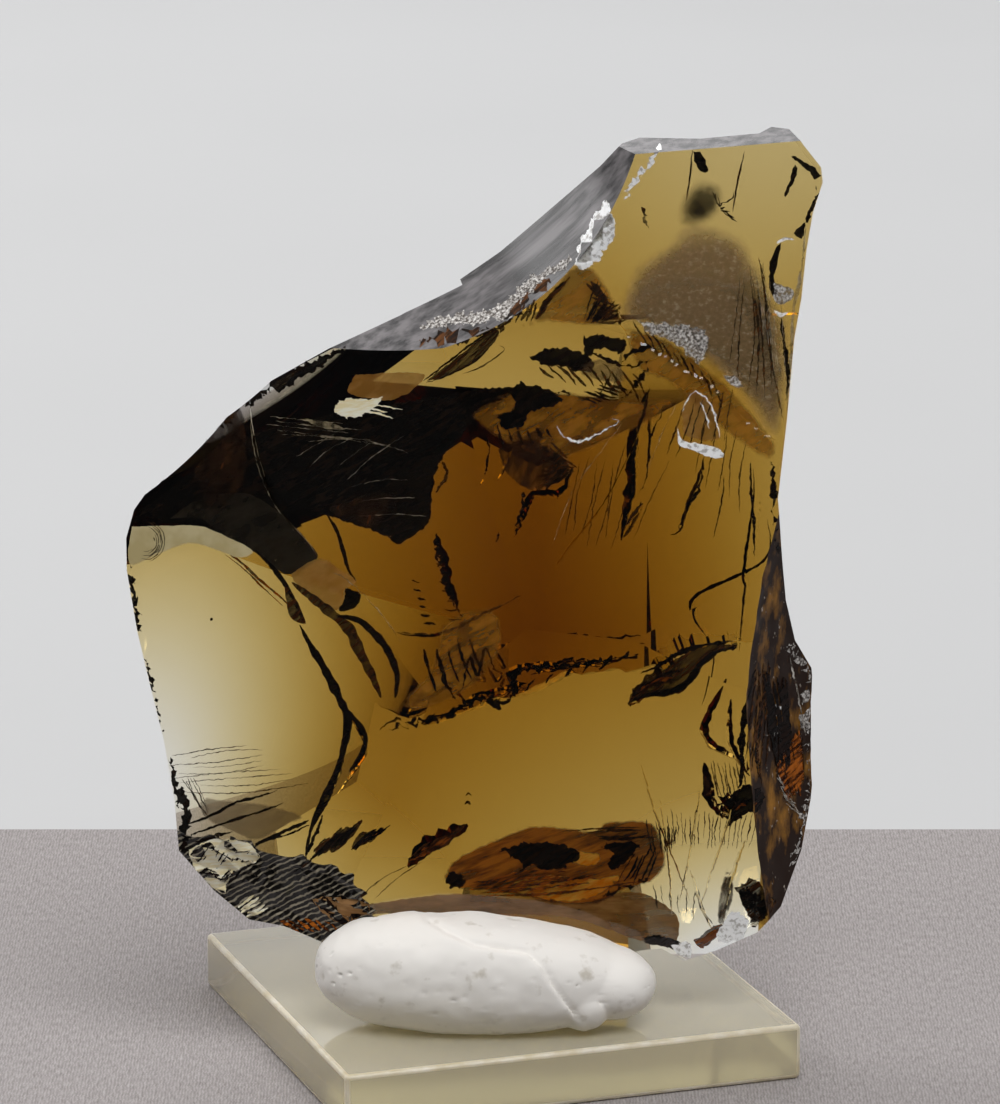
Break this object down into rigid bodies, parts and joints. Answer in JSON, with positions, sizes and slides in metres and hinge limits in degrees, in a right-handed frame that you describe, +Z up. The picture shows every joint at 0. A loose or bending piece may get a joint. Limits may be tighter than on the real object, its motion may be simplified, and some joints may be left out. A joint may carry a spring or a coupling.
{
  "type": "andara glass specimen on stand",
  "caption": "Broken lump of clear amber glass with curved fracture faces, held upright by putty on a square clear base.",
  "frame": {"origin": "centre of the base plate's underside, where it rests on the table", "axes": "+Z up, +X to the right across the broad face of the glass, +Y away from the viewer through the thickness of the glass; the square base is turned 19 degrees about Z"},
  "size_m": [0.073, 0.0646, 0.1013],
  "materials": {
    "amber_glass": "clear amber-brown glass with glossy conchoidal fracture faces",
    "white_putty": "matt, hand-rolled white mineral putty",
    "aged_acrylic": "clear acrylic, slightly yellowed and scratched, edges rounded"
  },
  "bodies": {
    "root": {"andara_glass": "amber_glass", "mounting_putty": "white_putty", "acrylic_base": "aged_acrylic"}
  },
  "joints": []
}
